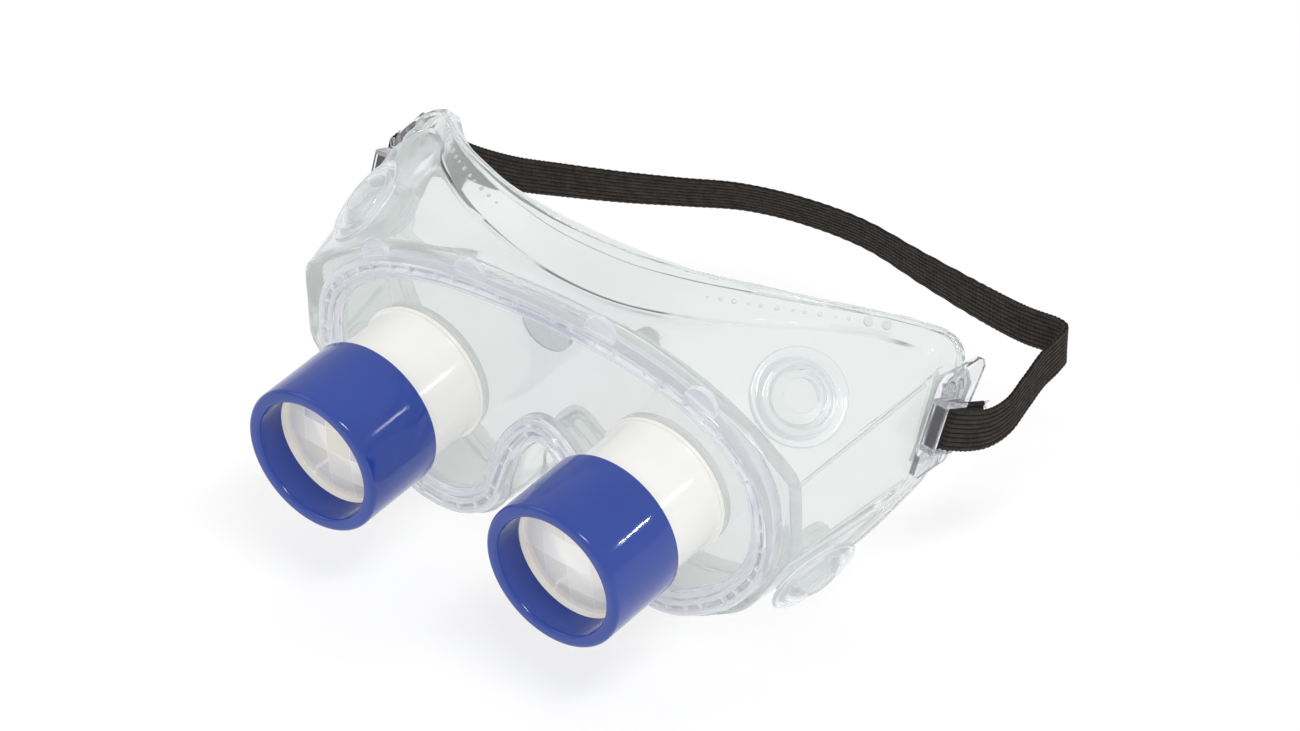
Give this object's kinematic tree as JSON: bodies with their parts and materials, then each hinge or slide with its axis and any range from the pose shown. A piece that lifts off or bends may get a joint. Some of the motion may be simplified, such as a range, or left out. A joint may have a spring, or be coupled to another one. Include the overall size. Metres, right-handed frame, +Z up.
{
  "type": "splash goggles with faceted eyepieces",
  "caption": "Clear soft splash goggles with white tubes through the lens plate, turning blue sleeves that hold faceted lenses, round vents and an elastic headband.",
  "frame": {"origin": "midway between the two eyepiece axes, on the front face of the lens plate", "axes": "-Y forwards along the eyepieces, +X to the viewer's right when seen from the front, +Z up"},
  "size_m": [0.1901, 0.1414, 0.0901],
  "materials": {
    "clear_soft_vinyl": "gloss",
    "clear_rigid_plastic": "gloss",
    "clear_lens_plastic": "gloss",
    "clear_vent_plastic": "gloss",
    "white_plastic": "gloss",
    "blue_plastic": "gloss",
    "frosted_facets": "satin",
    "black_elastic": "matte"
  },
  "bodies": {
    "mask": {"face_shell": "clear_soft_vinyl", "lens_frame": "clear_rigid_plastic", "lens_plate": "clear_lens_plastic", "left_collar": "white_plastic", "left_collar_nut": "clear_rigid_plastic", "right_collar": "white_plastic", "right_collar_nut": "clear_rigid_plastic", "top_left_vent_cap": "clear_vent_plastic", "top_right_vent_cap": "clear_vent_plastic", "bottom_left_vent_cap": "clear_vent_plastic", "bottom_right_vent_cap": "clear_vent_plastic", "top_left_vent_ring": "white_plastic", "top_right_vent_ring": "white_plastic", "bottom_left_vent_ring": "white_plastic", "bottom_right_vent_ring": "white_plastic", "left_strap_clip": "clear_rigid_plastic", "right_strap_clip": "clear_rigid_plastic", "strap": "black_elastic"},
    "left_eyepiece": {"left_sleeve": "blue_plastic", "left_faceted_lens": "frosted_facets", "left_lens_ring": "blue_plastic"},
    "right_eyepiece": {"right_sleeve": "blue_plastic", "right_faceted_lens": "frosted_facets", "right_lens_ring": "blue_plastic"}
  },
  "joints": [
    {"name": "left_sleeve_turn", "type": "hinge", "parent": "mask", "child": "left_eyepiece", "pos_m": [-0.0374, -0.03, 0], "axis": [0, -1, 0], "continuous": true},
    {"name": "right_sleeve_turn", "type": "hinge", "parent": "mask", "child": "right_eyepiece", "pos_m": [0.0374, -0.03, 0], "axis": [0, -1, 0], "continuous": true}
  ]
}
